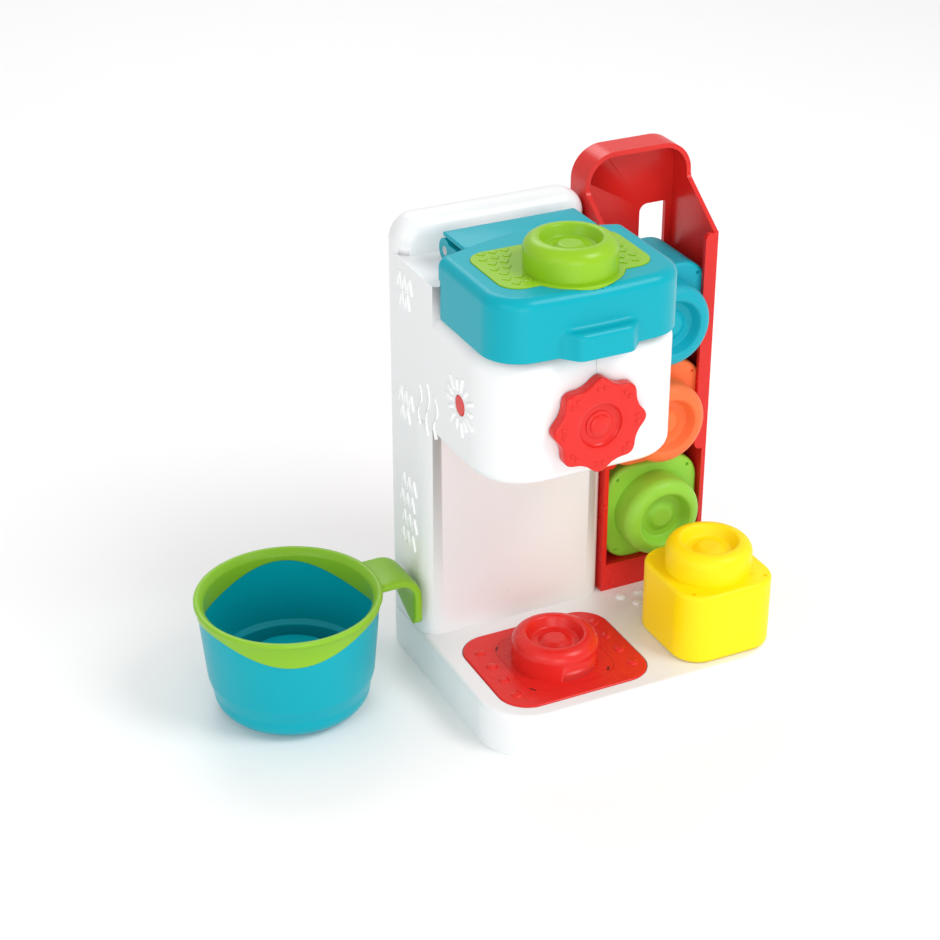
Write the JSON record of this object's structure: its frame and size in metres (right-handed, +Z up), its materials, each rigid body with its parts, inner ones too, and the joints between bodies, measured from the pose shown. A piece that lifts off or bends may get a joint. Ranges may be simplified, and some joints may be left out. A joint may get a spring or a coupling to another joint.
{
  "type": "toy coffee maker",
  "caption": "Toy coffee maker with a hinged lid over a knob-turned block dispenser, a side chute of soft studded blocks and a mug with a hook handle.",
  "frame": {"origin": "centre of the tray's underside", "axes": "+Z up, -Y the front with the knob, +X the side with the block chute"},
  "size_m": [0.2505, 0.13, 0.2305],
  "materials": {
    "white_plastic": "satin",
    "teal_plastic": "satin",
    "lime_plastic": "satin",
    "red_plastic": "satin",
    "green_plastic": "satin",
    "yellow_block": "soft matte",
    "green_block": "soft matte",
    "orange_block": "soft matte",
    "teal_block": "soft matte",
    "natural_plastic": "matte",
    "screw_steel": "zinc plated"
  },
  "bodies": {
    "stand": {"base_tray": "white_plastic", "bottom_cover": "white_plastic", "cover_screws": "screw_steel", "stand_screws": "screw_steel", "cup_plate": "red_plastic", "cup_stud": "red_plastic", "housing_left": "white_plastic", "housing_right": "white_plastic", "housing_screws": "screw_steel", "side_plug_left": "red_plastic", "side_plug_right": "red_plastic", "front_bush": "natural_plastic", "bearing_plate": "natural_plastic", "block_chute": "red_plastic"},
    "lid_body": {"lid": "teal_plastic", "lid_insert": "lime_plastic", "hinge_pin": "screw_steel"},
    "dispenser": {"knob": "red_plastic", "knob_cap": "red_plastic", "dispenser_scoop": "red_plastic"},
    "yellow": {"block_yellow": "yellow_block"},
    "green": {"block_green": "green_block"},
    "orange": {"block_orange": "orange_block"},
    "teal": {"block_teal": "teal_block"},
    "mug": {"mug_cup": "teal_plastic", "mug_rim": "green_plastic"}
  },
  "joints": [
    {"name": "lid_hinge", "type": "hinge", "parent": "stand", "child": "lid_body", "pos_m": [-0.027, 0.027, 0.2072], "axis": [-1, 0, 0], "range_deg": [0, 100]},
    {"name": "knob_turn", "type": "hinge", "parent": "stand", "child": "dispenser", "pos_m": [-0.027, -0.0502, 0.1554], "axis": [0, -1, 0], "continuous": true},
    {"name": "yellow_lift", "type": "slide", "parent": "stand", "child": "yellow", "axis": [0, 0, 1], "range_m": [0, 0.06]},
    {"name": "green_pull", "type": "slide", "parent": "stand", "child": "green", "axis": [0, -1, 0], "range_m": [0, 0.012]},
    {"name": "teal_lift", "type": "slide", "parent": "stand", "child": "teal", "axis": [0, 0, 1], "range_m": [0, 0.04]},
    {"name": "orange_lift", "type": "slide", "parent": "stand", "child": "orange", "axis": [0, 0, 1], "range_m": [0, 0.04]},
    {"name": "mug_lift", "type": "slide", "parent": "stand", "child": "mug", "axis": [0, 0, 1], "range_m": [0, 0.12]}
  ],
  "couplings": [
    {"joint": "orange_lift", "follows": "teal_lift", "ratio": 1}
  ]
}
